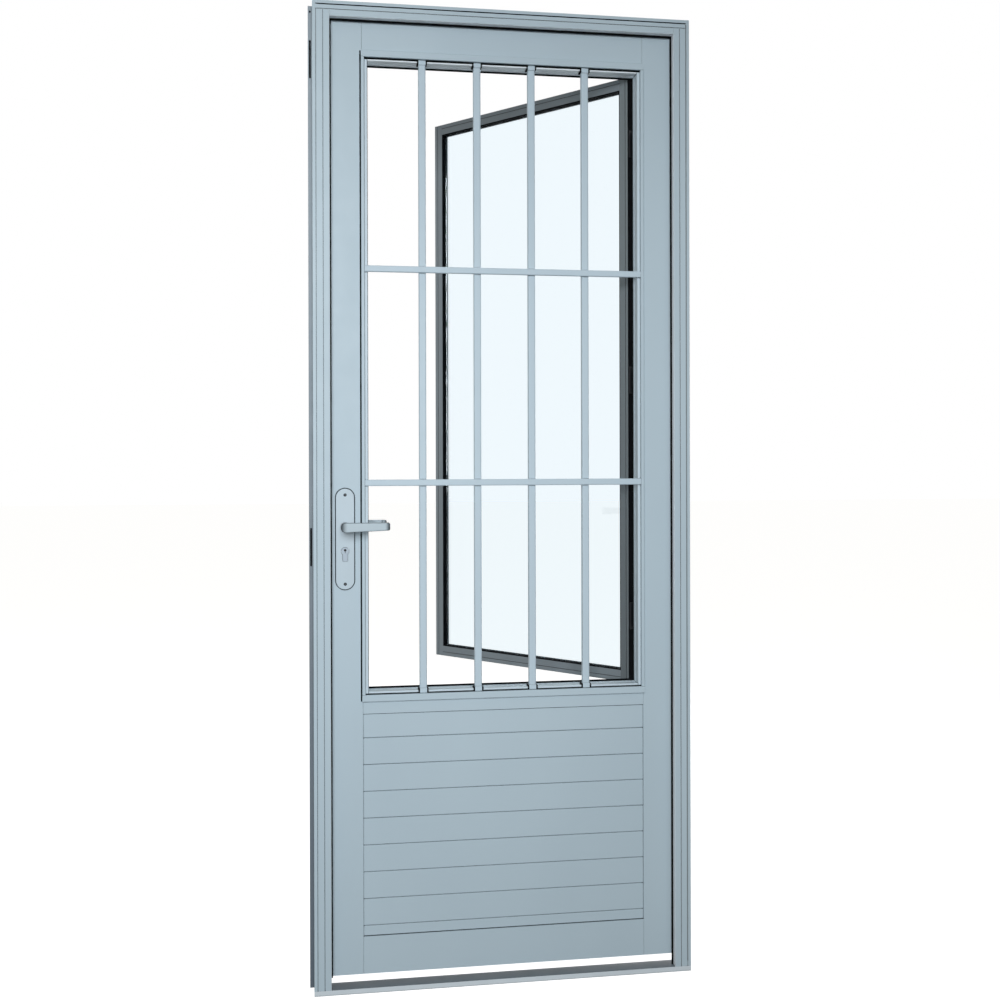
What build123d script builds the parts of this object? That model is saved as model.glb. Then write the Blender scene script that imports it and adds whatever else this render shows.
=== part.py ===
from build123d import *
import math
import os

os.makedirs("parts", exist_ok=True)

# An entrance door in its frame. Sizes are in millimetres.
# X runs along the width, to the right as seen from outside. Y runs from outside to inside, Z upwards.
# The origin is the middle of the threshold's underside.

# Outer frame
frame_width = 823.0
frame_height = 2100.0
frame_wall = 1.6
jamb_lip = 6.6
jamb_face = 36.0
jamb_body = 20.5
head_lip = 7.0
head_body = 19.2
head_face = 32.5
stop_thick = 15.0
face_groove_width = 1.7
face_groove_depth = 2.0
jamb_groove_at = 21.3
face_wall = 3.2
profile_round = 1.0
gasket_depth = 5.0
gasket_reach = 3.0
gasket_seat = 6.0
gasket_round = 1.2
part_gap = 0.4

# Fixing fin along the back of each jamb
fin_reach = 9.0
fin_thick = 1.6
fin_setback = 40.0
fin_slot_width = 4.0
fin_slot_length = 82.0
fin_slot_heights = (944.5, 1986.5)
fin_hole_radius = 2.0
fin_hole_height = 2088.0

# Threshold
sill_plate = 3.0
sill_height = 11.0
sill_step = 30.0

# Leaf
leaf_thick = 32.0
leaf_gap = 5.0
lock_gap = 9.0
hinge_gap = 5.3
leaf_top_gap = 5.2
leaf_bottom = 31.3
leaf_wall = 1.6
stile_width = 75.0
top_rail_height = 79.5
bottom_rail_height = 79.6
mid_rail_height = 36.0
mid_rail_top = 623.3

# Boards of the lower panel
board_pitch = 57.43
first_board = 52.0
board_recess = 2.5
board_wall = 1.3
board_bevel = 1.5

# Beads and lining of the window
bead_proud = 7.0
bead_cover = 1.9
bead_inside = 5.0
bead_height = 14.4
bead_round = 1.5
shadow_groove = 3.0
shadow_groove_depth = 4.0
lining_set_in = 7.4
lining_wall = 1.5
lining_lip = 9.0
lining_lip_rise = 1.0
rebate_gasket_depth = 4.0
rebate_gasket_width = 5.0
rebate_gasket_reach = 1.5

# Grille
bar_count = 4
bar_width = 15.5
bar_depth = 12.0
bar_round = 3.0
bar_pitch = 119.6
rail_height = 13.6
rail_depth = 6.0
rail_round = 2.0
rail_heights = (1081.5, 1539.5)
grille_wall = 1.2

# Handle set
plate_width = 39.0
plate_height = 215.0
plate_thick = 4.0
plate_centre_z = 962.0
plate_edge_round = 1.2
plate_seal_reach = 1.6
plate_seal_thick = 1.2
lever_z = 988.2
lever_length = 103.5
lever_hub_radius = 10.2
lever_tip_height = 16.3
lever_thick = 10.0
lever_stand_off = 41.0
lever_edge_round = 2.5
lever_corner_round = 4.0
lever_bend_round = 9.0
lever_inner_round = 3.0
lever_tip_return = 9.0
neck_radius = 8.5
neck_clearance = 0.5
spindle_side = 8.0
cylinder_z = 936.2
cylinder_radius = 8.0
cylinder_leg_width = 10.0
cylinder_drop = 21.0
cylinder_clearance = 0.5
cylinder_proud = 2.0
key_hole_radius = 2.0
key_slot_width = 1.4
key_slot_height = 8.0
key_depth = 3.0
faceplate_width = 22.0
faceplate_height = 230.0
faceplate_thick = 1.5
strike_width = 24.0
strike_height = 160.0
strike_thick = 1.2
strike_hole_width = 12.0
strike_hole_height = 34.0

# Butt hinges between leaf and frame
hinge_setback = 200.0
hinge_height = 90.0
knuckle_radius = 6.5
knuckle_lift = 0.3
knuckle_gap = 0.4
pin_radius = 3.0
pin_clearance = 0.1
hinge_plate_thick = 3.0
leaf_plate_width = 38.0
frame_plate_width = 19.0
plate_relief = 0.7

# Glazed sash behind the grille, fixed open
sash_angle = 50.2
sash_overlap = 8.0
sash_thick = 20.0
sash_member = 25.0
sash_wall = 1.4
sash_front_wall = 3.0
sash_groove_at = 9.0
sash_groove_width = 1.3
sash_groove_depth = 1.6
sash_axis_gap = 5.0
glass_lip_width = 3.5
glass_lip_depth = 4.0
glass_thick = 4.0
glass_edge_gap = 1.5
glass_gasket_width = 2.2
glass_gasket_setback = 0.7
edge_seal_thick = 1.5
edge_seal_width = 10.5
edge_seal_setback = 0.5
sash_hinge_height = 60.0
sash_hinge_setback = 150.0
sash_knuckle_radius = 4.5
sash_hinge_plate = 2.0
latch_width = 16.0
latch_height = 70.0
latch_thick = 9.0
latch_hub_radius = 7.0
latch_grip_length = 52.5
latch_grip_width = 11.2

# How far a cutting solid reaches past the face that it cuts
past = 1.0

# Two places closer together than this count as the same
same = 0.01

# Places worked out from the sizes above
half_width = frame_width / 2
frame_depth = stop_thick + gasket_depth + leaf_gap + leaf_thick
y_front = -frame_depth / 2
y_back = frame_depth / 2
y_stop = y_front + stop_thick
y_leaf = y_back - leaf_thick
y_fin = y_front + fin_setback
leaf_left = -half_width + jamb_body + lock_gap
leaf_right = half_width - jamb_body - hinge_gap
leaf_middle = (leaf_left + leaf_right) / 2
leaf_top = frame_height - head_body - leaf_top_gap
panel_left = leaf_left + stile_width
panel_right = leaf_right - stile_width
window_bottom = mid_rail_top
window_top = leaf_top - top_rail_height
head_joint = frame_height - head_body
hinge_heights = (leaf_bottom + hinge_setback, (leaf_bottom + leaf_top) / 2, leaf_top - hinge_setback)


def patch(low_x, high_x, low_y, high_y, mode=Mode.ADD):
    """A rectangle of the running sketch, given by its edges."""
    with Locations(((low_x + high_x) / 2, (low_y + high_y) / 2)):
        Rectangle(abs(high_x - low_x), abs(high_y - low_y), mode=mode)


def block(low, high, mode=Mode.ADD):
    """A box of the running part, given by two corners."""
    middle = [(a + b) / 2 for a, b in zip(low, high)]
    size = [abs(b - a) for a, b in zip(low, high)]
    with Locations(tuple(middle)):
        Box(*size, mode=mode)


def save(piece, name):
    """Labels a piece and writes it as a STEP file."""
    piece.part.label = name
    export_step(piece.part, f"parts/{name}.step")


# Frame

def jamb(side):
    """One jamb: a hollow body, the stop flange in front, face grooves and the fixing fin at the back."""
    def at(inset):
        return side * (half_width - inset)

    with BuildPart() as piece:
        with BuildSketch(Plane.XY.offset(sill_plate)) as section:
            patch(at(0), at(jamb_body), y_front, y_back)
            patch(at(0), at(jamb_face), y_front, y_stop)
            fillet(section.vertices().group_by(Axis.Y)[0], radius=profile_round)
            patch(at(-fin_reach), at(0), y_fin, y_fin + fin_thick)
            patch(at(frame_wall), at(jamb_body - frame_wall), y_stop, y_back - frame_wall,
                  mode=Mode.SUBTRACT)
            patch(at(frame_wall), at(jamb_face - frame_wall), y_front + face_wall, y_stop - frame_wall,
                  mode=Mode.SUBTRACT)
            for groove_at in (jamb_lip, jamb_groove_at):
                patch(at(groove_at), at(groove_at + face_groove_width), y_front,
                      y_front + face_groove_depth, mode=Mode.SUBTRACT)
        extrude(amount=frame_height - sill_plate)
        # The raised front of the threshold runs through under the jamb
        block((at(-past), y_front - past, 0), (at(jamb_face + past), y_front + sill_step, sill_height),
              mode=Mode.SUBTRACT)
        # Only the outer lip runs up beside the head
        block((at(jamb_lip), y_front - past, head_joint),
              (at(jamb_face + past), y_back + past, frame_height + past), mode=Mode.SUBTRACT)
        with BuildSketch(Plane.XZ.offset(-y_fin)):
            for height in fin_slot_heights:
                with Locations((at(-fin_reach / 2), height)):
                    SlotOverall(fin_slot_length, fin_slot_width, rotation=90)
            with Locations((at(-fin_reach / 2), fin_hole_height)):
                Circle(fin_hole_radius)
        extrude(amount=fin_thick, both=True, mode=Mode.SUBTRACT)
    return piece


def head():
    """The head: its body lies over the jambs, its stop hangs between their flanges."""
    over = half_width - jamb_lip
    between = half_width - jamb_face
    with BuildPart() as piece:
        block((-over, y_front, head_joint), (over, y_back, frame_height))
        block((-between, y_front, frame_height - head_face), (between, y_stop, head_joint))
        front_edges = piece.edges().filter_by(Axis.X).group_by(Axis.Y)[0]
        fillet([front_edges.sort_by(Axis.Z)[0], front_edges.sort_by(Axis.Z)[-1]], radius=profile_round)
        block((-over, y_stop, head_joint + frame_wall),
              (over, y_back - frame_wall, frame_height - frame_wall), mode=Mode.SUBTRACT)
        block((-over, y_front + face_wall, head_joint + frame_wall),
              (over, y_stop - frame_wall, frame_height - frame_wall), mode=Mode.SUBTRACT)
        block((-between, y_front + face_wall, frame_height - head_face + frame_wall),
              (between, y_stop - frame_wall, head_joint + past), mode=Mode.SUBTRACT)
        for down in (head_lip, head_body - face_groove_width):
            block((-over, y_front - past, frame_height - down - face_groove_width),
                  (over, y_front + face_groove_depth, frame_height - down), mode=Mode.SUBTRACT)
    return piece


def threshold():
    """The threshold: a plate under the whole frame with a raised hollow front."""
    with BuildPart() as piece:
        block((-half_width, y_front, 0), (half_width, y_back, sill_plate))
        block((-half_width, y_front, sill_plate), (half_width, y_front + sill_step, sill_height))
        block((-half_width, y_front + frame_wall, sill_plate),
              (half_width, y_front + sill_step - frame_wall, sill_height - frame_wall), mode=Mode.SUBTRACT)
    return piece


def on_gasket_lip(edge):
    """Tells the long edges of the frame's gasket that lie towards the leaf from the others."""
    at_lip = abs(edge.center().Y - y_stop - gasket_depth) < same
    return at_lip and edge.length > gasket_reach + gasket_seat + past


def frame_gasket():
    """Three black strips on the back of the stop, standing past its edge towards the leaf."""
    inner = half_width - jamb_face - gasket_reach
    outer = inner + gasket_reach + gasket_seat
    low = frame_height - head_face - gasket_reach
    high = low + gasket_reach + gasket_seat
    with BuildPart() as piece:
        for side, foot in ((-1, leaf_bottom), (1, sill_height)):
            block((side * inner, y_stop, foot), (side * outer, y_stop + gasket_depth, low - part_gap))
        block((-outer, y_stop, low), (outer, y_stop + gasket_depth, high))
        fillet(piece.edges().filter_by(on_gasket_lip), radius=gasket_round)
    return piece


save(jamb(-1), "left_jamb")
save(jamb(1), "right_jamb")
save(head(), "head")
save(threshold(), "threshold")
save(frame_gasket(), "frame_gasket")


# Leaf

spindle_x = leaf_left + stile_width / 2
plate_front = y_leaf - plate_thick
plate_back = y_back + plate_thick
lever_inner = plate_front - lever_stand_off
lever_outer = lever_inner - lever_thick
lever_tip_end = lever_inner + lever_tip_return

# The beads cover the joint between the leaf and the window's lining
bead_front = y_leaf - bead_proud
bead_left = panel_left - bead_cover
bead_right = panel_right + bead_cover
clear_left = panel_left + bead_inside
clear_right = panel_right - bead_inside
clear_bottom = window_bottom + bead_inside
clear_top = window_top - bead_inside
bead_low = clear_bottom - bead_height
bead_high = clear_top + bead_height

# The opening that the lining leaves
lining_left = clear_left + lining_set_in
lining_right = clear_right - lining_set_in
lining_bottom = clear_bottom + lining_set_in
lining_top = clear_top - lining_set_in


def lock_outline(clearance, mode=Mode.ADD):
    """The profile cylinder's outline in a sketch seen along the width: a round head and a straight leg."""
    radius = cylinder_radius + clearance
    leg = cylinder_leg_width + 2 * clearance
    with Locations((spindle_x, cylinder_z)):
        Circle(radius, mode=mode)
    patch(spindle_x - leg / 2, spindle_x + leg / 2, cylinder_z - cylinder_drop - clearance, cylinder_z,
          mode=mode)


def stile(left, right, for_lock=False):
    """An upright hollow member of the leaf. The lock stile is pierced for spindle and cylinder."""
    with BuildPart() as piece:
        with BuildSketch(Plane.XY.offset(leaf_bottom)) as section:
            patch(left, right, y_leaf, y_back)
            fillet(section.vertices(), radius=profile_round)
            patch(left + leaf_wall, right - leaf_wall, y_leaf + leaf_wall, y_back - leaf_wall,
                  mode=Mode.SUBTRACT)
            if for_lock:
                # The wall behind the shadow groove is folded inwards
                patch(bead_left - shadow_groove - leaf_wall, right - leaf_wall, y_leaf + leaf_wall,
                      y_leaf + shadow_groove_depth + leaf_wall)
        extrude(amount=leaf_top - leaf_bottom)
        if for_lock:
            with BuildSketch(Plane.XZ.offset(-(y_back + past))):
                with Locations((spindle_x, lever_z)):
                    Circle(neck_radius + neck_clearance)
                lock_outline(cylinder_clearance)
            extrude(amount=leaf_thick + 2 * past, mode=Mode.SUBTRACT)
            # A narrow shadow groove runs beside the bead, as high as the window's beads
            block((bead_left - shadow_groove, y_leaf - past, bead_low),
                  (bead_left, y_leaf + shadow_groove_depth, bead_high), mode=Mode.SUBTRACT)
    return piece


def rail(low, high):
    """A hollow cross member of the leaf between the stiles."""
    with BuildPart() as piece:
        with BuildSketch(Plane.YZ.offset(panel_left)):
            patch(y_leaf, y_back, low, high)
            patch(y_leaf + leaf_wall, y_back - leaf_wall, low + leaf_wall, high - leaf_wall,
                  mode=Mode.SUBTRACT)
        extrude(amount=panel_right - panel_left)
    return piece


def board(low, high):
    """A hollow board of the lower panel, bevelled along its edges so that two boards meet in a V."""
    front = y_leaf + board_recess
    back = y_back - board_recess
    with BuildPart() as piece:
        with BuildSketch(Plane.YZ.offset(panel_left)) as outline:
            patch(front, back, low, high)
            chamfer(outline.vertices(), board_bevel)
            patch(front + board_wall, back - board_wall, low + board_bevel + board_wall,
                  high - board_bevel - board_wall, mode=Mode.SUBTRACT)
        extrude(amount=panel_right - panel_left)
    return piece


def upright_bead(left, right):
    """A bead beside the window, between the two long beads."""
    with BuildPart() as piece:
        block((left, bead_front, clear_bottom), (right, y_leaf, clear_top))
        edges = piece.edges().filter_by(Axis.Z).group_by(Axis.Y)[0]
        fillet(edges, radius=bead_round)
    return piece


def long_bead(low, high):
    """A bead above or below the window."""
    with BuildPart() as piece:
        block((bead_left, bead_front, low), (bead_right, y_leaf, high))
        edges = piece.edges().filter_by(Axis.X).group_by(Axis.Y)[0]
        fillet(edges, radius=bead_round)
    return piece


def lining_section(outer, toward):
    """The lining's section from its outer edge towards the window: a tube with a low lip at the back."""
    inner = outer + toward * (bead_inside + lining_set_in)
    patch(outer, inner - toward * lining_lip_rise, y_leaf, y_back)
    patch(outer, inner, y_back - lining_lip, y_back)
    patch(outer + toward * lining_wall, inner - toward * (lining_lip_rise + lining_wall),
          y_leaf + lining_wall, y_back - lining_wall, mode=Mode.SUBTRACT)


def upright_lining(outer, toward):
    """A lining piece beside the window, over its whole height."""
    with BuildPart() as piece:
        with BuildSketch(Plane.XY.offset(window_bottom)):
            lining_section(outer, toward)
        extrude(amount=window_top - window_bottom)
    return piece


def level_lining(outer, toward):
    """A lining piece above or below the window, between the upright ones."""
    section = Plane(origin=(lining_left, 0, 0), x_dir=(0, 0, 1), z_dir=(-1, 0, 0))
    with BuildPart() as piece:
        with BuildSketch(section):
            lining_section(outer, toward)
        extrude(amount=-(lining_right - lining_left))
    return piece


def window_gasket():
    """The black ring on the lining's back face that the sash closes against."""
    left = lining_left + rebate_gasket_reach
    right = lining_right - rebate_gasket_reach
    low = lining_bottom + rebate_gasket_reach
    high = lining_top - rebate_gasket_reach
    wide = rebate_gasket_width + rebate_gasket_reach
    with BuildPart() as piece:
        with BuildSketch(Plane.XZ.offset(-(y_back + rebate_gasket_depth))):
            patch(left - wide, right + wide, low - wide, high + wide)
            patch(left, right, low, high, mode=Mode.SUBTRACT)
        extrude(amount=rebate_gasket_depth)
    return piece


# Grille

bar_front = y_leaf
rail_front = y_leaf - rail_depth


def grille_bars():
    """The upright bars, hollow, behind the cross rails and standing on the lining."""
    first = leaf_middle - bar_pitch * (bar_count - 1) / 2
    bar_foot = lining_bottom - lining_lip_rise
    bar_top = lining_top + lining_lip_rise
    with BuildPart() as piece:
        with BuildSketch(Plane.XY.offset(bar_foot)) as section:
            for number in range(bar_count):
                middle = first + number * bar_pitch
                patch(middle - bar_width / 2, middle + bar_width / 2, bar_front, bar_front + bar_depth)
            fillet(section.vertices().group_by(Axis.Y)[0], radius=bar_round)
            for number in range(bar_count):
                middle = first + number * bar_pitch
                patch(middle - bar_width / 2 + grille_wall, middle + bar_width / 2 - grille_wall,
                      bar_front + grille_wall, bar_front + bar_depth - grille_wall, mode=Mode.SUBTRACT)
        extrude(amount=bar_top - bar_foot)
    return piece


def grille_rails():
    """The two cross rails, in front of the bars, from bead to bead."""
    with BuildPart() as piece:
        with BuildSketch(Plane.YZ.offset(clear_left)) as section:
            for height in rail_heights:
                patch(rail_front, rail_front + rail_depth, height - rail_height / 2,
                      height + rail_height / 2)
            fillet(section.vertices().group_by(Axis.X)[0], radius=rail_round)
            for height in rail_heights:
                patch(rail_front + grille_wall, rail_front + rail_depth - grille_wall,
                      height - rail_height / 2 + grille_wall, height + rail_height / 2 - grille_wall,
                      mode=Mode.SUBTRACT)
        extrude(amount=clear_right - clear_left)
    return piece


# Handle set

def handle_plate(front):
    """A long plate with round ends, pierced for the lever's neck and the cylinder."""
    with BuildPart() as piece:
        with BuildSketch(Plane.XZ.offset(-(front + plate_thick))):
            with Locations((spindle_x, plate_centre_z)):
                SlotOverall(plate_height, plate_width, rotation=90)
            with Locations((spindle_x, lever_z)):
                Circle(neck_radius + neck_clearance, mode=Mode.SUBTRACT)
            lock_outline(cylinder_clearance, mode=Mode.SUBTRACT)
        extrude(amount=plate_thick)
        outer_face = Axis.Y if front < y_leaf else -Axis.Y
        rim = piece.faces().sort_by(outer_face)[0].outer_wire().edges()
        fillet(rim, radius=plate_edge_round)
    return piece


def plate_seals():
    """The thin black seals round the foot of the two handle plates."""
    with BuildPart() as piece:
        for low in (y_leaf - plate_seal_thick, y_back):
            with BuildSketch(Plane.XZ.offset(-(low + plate_seal_thick))):
                with Locations((spindle_x, plate_centre_z)):
                    SlotOverall(plate_height + 2 * plate_seal_reach, plate_width + 2 * plate_seal_reach,
                                rotation=90)
                    SlotOverall(plate_height, plate_width, rotation=90, mode=Mode.SUBTRACT)
            extrude(amount=plate_seal_thick)
    return piece


def lever_front(face_y):
    """The lever seen from the front: round at the hub, level on top, narrower towards its tip."""
    tip = spindle_x - lever_hub_radius + lever_length
    tip_low = lever_z + lever_hub_radius - lever_tip_height
    top = (spindle_x, lever_z + lever_hub_radius)
    bottom = (spindle_x, lever_z - lever_hub_radius)
    with BuildSketch(Plane.XZ.offset(-face_y)) as outline:
        with BuildLine():
            ThreePointArc(top, (spindle_x - lever_hub_radius, lever_z), bottom)
            Polyline(bottom, (tip, tip_low), (tip, lever_z + lever_hub_radius), top)
        make_face()
        fillet(outline.vertices().sort_by(Axis.X)[-2:], radius=lever_corner_round)
    return outline.sketch


def lever_plan():
    """The lever seen from above: a flat bar, bent at both ends, whose tip turns back to the leaf."""
    left = spindle_x - lever_hub_radius
    tip = left + lever_length
    with BuildSketch(Plane.XY.offset(lever_z - lever_hub_radius - past)) as outline:
        with BuildLine():
            Polyline((left, lever_outer), (tip, lever_outer), (tip, lever_tip_end),
                     (tip - lever_thick, lever_tip_end), (tip - lever_thick, lever_inner),
                     (left, lever_inner), close=True)
        make_face()
        for level, radius in ((lever_outer, lever_bend_round), (lever_tip_end, lever_inner_round)):
            corners = outline.vertices().filter_by(lambda corner: abs(corner.Y - level) < same)
            fillet(corners, radius=radius)
    return outline.sketch


def on_lever_rim(edge):
    """Tells the long edges round the lever's outer side from the others."""
    box = edge.bounding_box()
    upright = box.max.Y - box.min.Y < same and box.max.X - box.min.X < same
    return box.min.Y < lever_inner - past and not upright


def outside_lever():
    """A round neck and a flat bar, which is what the plan and the front outline have in common."""
    with BuildPart() as piece:
        extrude(lever_plan(), amount=2 * (lever_hub_radius + past))
        extrude(lever_front(lever_tip_end + past), amount=lever_tip_end - lever_outer + 2 * past,
                mode=Mode.INTERSECT)
        fillet(piece.edges().filter_by(on_lever_rim), radius=lever_edge_round)
        with BuildSketch(Plane.XZ.offset(-y_leaf)):
            with Locations((spindle_x, lever_z)):
                Circle(neck_radius)
        extrude(amount=y_leaf - lever_inner)
    return piece


def inside_lever():
    """The same lever on the other side of the leaf."""
    with BuildPart() as piece:
        add(mirror(outside_lever().part, about=Plane.XZ.offset(-(y_leaf + y_back) / 2)))
    return piece


def spindle():
    """The square spindle between the two necks."""
    side = spindle_side / 2
    with BuildPart() as piece:
        block((spindle_x - side, y_leaf, lever_z - side), (spindle_x + side, y_back, lever_z + side))
    return piece


def lock_cylinder():
    """The profile cylinder with a keyhole at each end."""
    front = plate_front - cylinder_proud
    back = plate_back + cylinder_proud
    with BuildPart() as piece:
        with BuildSketch(Plane.XZ.offset(-back)):
            lock_outline(0)
        extrude(amount=back - front)
        for face, inward in ((front, -key_depth), (back, key_depth)):
            with BuildSketch(Plane.XZ.offset(-face)):
                with Locations((spindle_x, cylinder_z + key_slot_height / 4)):
                    Circle(key_hole_radius)
                patch(spindle_x - key_slot_width / 2, spindle_x + key_slot_width / 2,
                      cylinder_z - key_slot_height / 2, cylinder_z + key_slot_height / 4)
            extrude(amount=inward, mode=Mode.SUBTRACT)
    return piece


def lock_faceplate():
    """The lock's plate on the leaf's free edge."""
    y_middle = (y_leaf + y_back) / 2
    with BuildPart() as piece:
        with BuildSketch(Plane.YZ.offset(leaf_left)):
            with Locations((y_middle, plate_centre_z)):
                SlotOverall(faceplate_height, faceplate_width, rotation=90)
        extrude(amount=-faceplate_thick)
    return piece


def strike_plate():
    """The strike plate on the lock jamb, with its two openings."""
    y_middle = (y_leaf + y_back) / 2
    face = -half_width + jamb_body
    with BuildPart() as piece:
        with BuildSketch(Plane.YZ.offset(face)):
            with Locations((y_middle, plate_centre_z)):
                Rectangle(strike_width, strike_height)
            with Locations((y_middle, lever_z), (y_middle, cylinder_z - strike_hole_height)):
                Rectangle(strike_hole_width, strike_hole_height, mode=Mode.SUBTRACT)
        extrude(amount=strike_thick)
    return piece


# Butt hinges: the frame's half carries the pin, the leaf's half turns on it

hinge_x = (leaf_right + half_width - jamb_body) / 2
hinge_y = y_back + knuckle_lift + knuckle_radius
knuckle_height = hinge_height / 3


def hinge_halves(for_frame):
    """All three hinges' halves on one side."""
    toward = 1 if for_frame else -1
    plate_reach = frame_plate_width if for_frame else leaf_plate_width
    knuckle_edge = hinge_x + toward * (knuckle_radius + plate_relief)
    with BuildPart() as piece:
        for height in hinge_heights:
            low = height - hinge_height / 2
            ends = ((low, low + knuckle_height - knuckle_gap),
                    (low + 2 * knuckle_height + knuckle_gap, low + hinge_height))
            middle = ((low + knuckle_height, low + 2 * knuckle_height),)
            spans = ends if for_frame else middle
            block((knuckle_edge, y_back, low),
                  (hinge_x + toward * plate_reach, y_back + hinge_plate_thick, low + hinge_height))
            for start, stop in spans:
                block((hinge_x, hinge_y - knuckle_radius, start),
                      (knuckle_edge, y_back + hinge_plate_thick, stop))
                with BuildSketch(Plane.XY.offset(start)):
                    with Locations((hinge_x, hinge_y)):
                        Circle(knuckle_radius)
                extrude(amount=stop - start)
            with BuildSketch(Plane.XY.offset(low)):
                with Locations((hinge_x, hinge_y)):
                    Circle(pin_radius if for_frame else pin_radius + pin_clearance)
            extrude(amount=hinge_height, mode=Mode.ADD if for_frame else Mode.SUBTRACT)
    return piece


# Glazed sash, drawn from its own hinge axis: x towards its free edge, y towards the outside, z upwards

sash_left = lining_left - sash_overlap
sash_right = lining_right + sash_overlap
sash_low = lining_bottom - sash_overlap
sash_high = lining_top + sash_overlap
sash_width = sash_right - sash_left
sash_axis_x = sash_right + sash_axis_gap
sash_axis_y = y_back + rebate_gasket_depth + sash_thick
open_angle = math.radians(sash_angle)
sash_frame = Plane(origin=(sash_axis_x, sash_axis_y, 0),
                   x_dir=(-math.cos(open_angle), math.sin(open_angle), 0), z_dir=(0, 0, 1))
sash_near = sash_axis_gap
sash_far = sash_axis_gap + sash_width


def sash_face(depth):
    """An upright plane across the sash, looking at it from inside, that far from its inner face."""
    return Plane(origin=sash_frame.from_local_coords((0, depth, 0)), x_dir=sash_frame.x_dir,
                 z_dir=-sash_frame.y_dir)


def sash_tube(outer, toward):
    """A sash member's hollow section in the running sketch, with a groove along its outer face."""
    inner = outer + toward * sash_member
    groove = outer + toward * sash_groove_at
    patch(outer, inner, 0, sash_thick)
    patch(outer + toward * sash_wall, inner - toward * sash_wall, sash_wall,
          sash_thick - sash_front_wall, mode=Mode.SUBTRACT)
    patch(groove, groove + toward * sash_groove_width, sash_thick - sash_groove_depth, sash_thick,
          mode=Mode.SUBTRACT)


def sash_lip(outer, toward):
    """The glazing lip behind the glass, on the same member."""
    inner = outer + toward * sash_member
    patch(inner, inner + toward * glass_lip_width, 0, glass_lip_depth)


def sash_stile(outer, toward):
    """An upright of the sash, with its lip between the two rails."""
    with BuildPart() as piece:
        with BuildSketch(sash_frame.offset(sash_low)):
            sash_tube(outer, toward)
        extrude(amount=sash_high - sash_low)
        with BuildSketch(sash_frame.offset(sash_low + sash_member)):
            sash_lip(outer, toward)
        extrude(amount=sash_high - sash_low - 2 * sash_member)
    return piece


def sash_rail(outer, toward):
    """A cross member of the sash between its stiles, with its lip between theirs."""
    with BuildPart() as piece:
        for section, inset in ((sash_tube, sash_member), (sash_lip, sash_member + glass_lip_width)):
            start = sash_frame.from_local_coords((sash_near + inset, 0, 0))
            with BuildSketch(Plane(origin=start, x_dir=(0, 0, 1), z_dir=-sash_frame.x_dir)):
                section(outer, toward)
            extrude(amount=-(sash_width - 2 * inset))
    return piece


def sash_glass():
    """The pane, clear of the members all round and lying against their lips."""
    inset = sash_member + glass_edge_gap
    with BuildPart() as piece:
        with BuildSketch(sash_frame.offset(sash_low + inset)):
            patch(sash_near + inset, sash_far - inset, glass_lip_depth, glass_lip_depth + glass_thick)
        extrude(amount=sash_high - sash_low - 2 * inset)
    return piece


def sash_gasket():
    """The black ring in front of the glass, which lines the sash's inner edge."""
    glass_face = glass_lip_depth + glass_thick
    with BuildPart() as piece:
        with BuildSketch(sash_face(glass_face)):
            for inset, mode in ((sash_member, Mode.ADD), (sash_member + glass_gasket_width, Mode.SUBTRACT)):
                patch(sash_near + inset, sash_far - inset, sash_low + inset, sash_high - inset, mode=mode)
        extrude(amount=-(sash_thick - glass_gasket_setback - glass_face))
    return piece


def sash_hinge_places():
    """The heights of the three sash hinges' middles."""
    return (sash_low + sash_hinge_setback, (sash_low + sash_high) / 2, sash_high - sash_hinge_setback)


def sash_edge_seal():
    """The black seal on the sash's hinge edge, in lengths between the hinges."""
    ends = [sash_low]
    for height in sash_hinge_places():
        ends += [height - sash_hinge_height / 2 - part_gap, height + sash_hinge_height / 2 + part_gap]
    ends.append(sash_high)
    front = sash_thick - edge_seal_setback
    with BuildPart() as piece:
        for low, high in zip(ends[::2], ends[1::2]):
            with BuildSketch(sash_frame.offset(low)):
                patch(sash_near - edge_seal_thick, sash_near, front - edge_seal_width, front)
            extrude(amount=high - low)
    return piece


def sash_hinges():
    """Three fixed sash hinges: a knuckle, a wing on the sash's edge and a foot on the leaf's back."""
    with BuildPart() as piece:
        for height in sash_hinge_places():
            low = height - sash_hinge_height / 2
            with BuildSketch(sash_frame.offset(low)):
                Circle(sash_knuckle_radius)
                patch(sash_near - sash_hinge_plate, sash_near, 0, sash_thick)
            extrude(amount=sash_hinge_height)
            post = sash_axis_x + sash_knuckle_radius
            block((post - sash_hinge_plate, y_back, low), (post, sash_axis_y, low + sash_hinge_height))
            block((post - sash_hinge_plate, y_back, low),
                  (post + sash_thick, y_back + sash_hinge_plate, low + sash_hinge_height))
    return piece


def sash_latch():
    """A small turn latch on the inner face of the sash's free stile."""
    middle = (sash_low + sash_high) / 2
    centre = sash_far - sash_member / 2
    layer = latch_thick / 3
    with BuildPart() as piece:
        with BuildSketch(sash_face(0)):
            with Locations((centre, middle)):
                SlotOverall(latch_height, latch_width, rotation=90)
        extrude(amount=layer)
        with BuildSketch(sash_face(-layer)):
            with Locations((centre, middle)):
                Circle(latch_hub_radius)
        extrude(amount=layer)
        with BuildSketch(sash_face(-2 * layer)):
            with Locations((centre, middle - latch_height / 4)):
                SlotOverall(latch_grip_length, latch_grip_width, rotation=90)
        extrude(amount=layer)
    return piece


save(stile(leaf_left, panel_left, for_lock=True), "lock_stile")
save(stile(panel_right, leaf_right), "hinge_stile")
save(rail(window_top, leaf_top), "top_rail")
save(rail(mid_rail_top - mid_rail_height, mid_rail_top), "mid_rail")
save(rail(leaf_bottom, leaf_bottom + bottom_rail_height), "bottom_rail")

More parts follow.
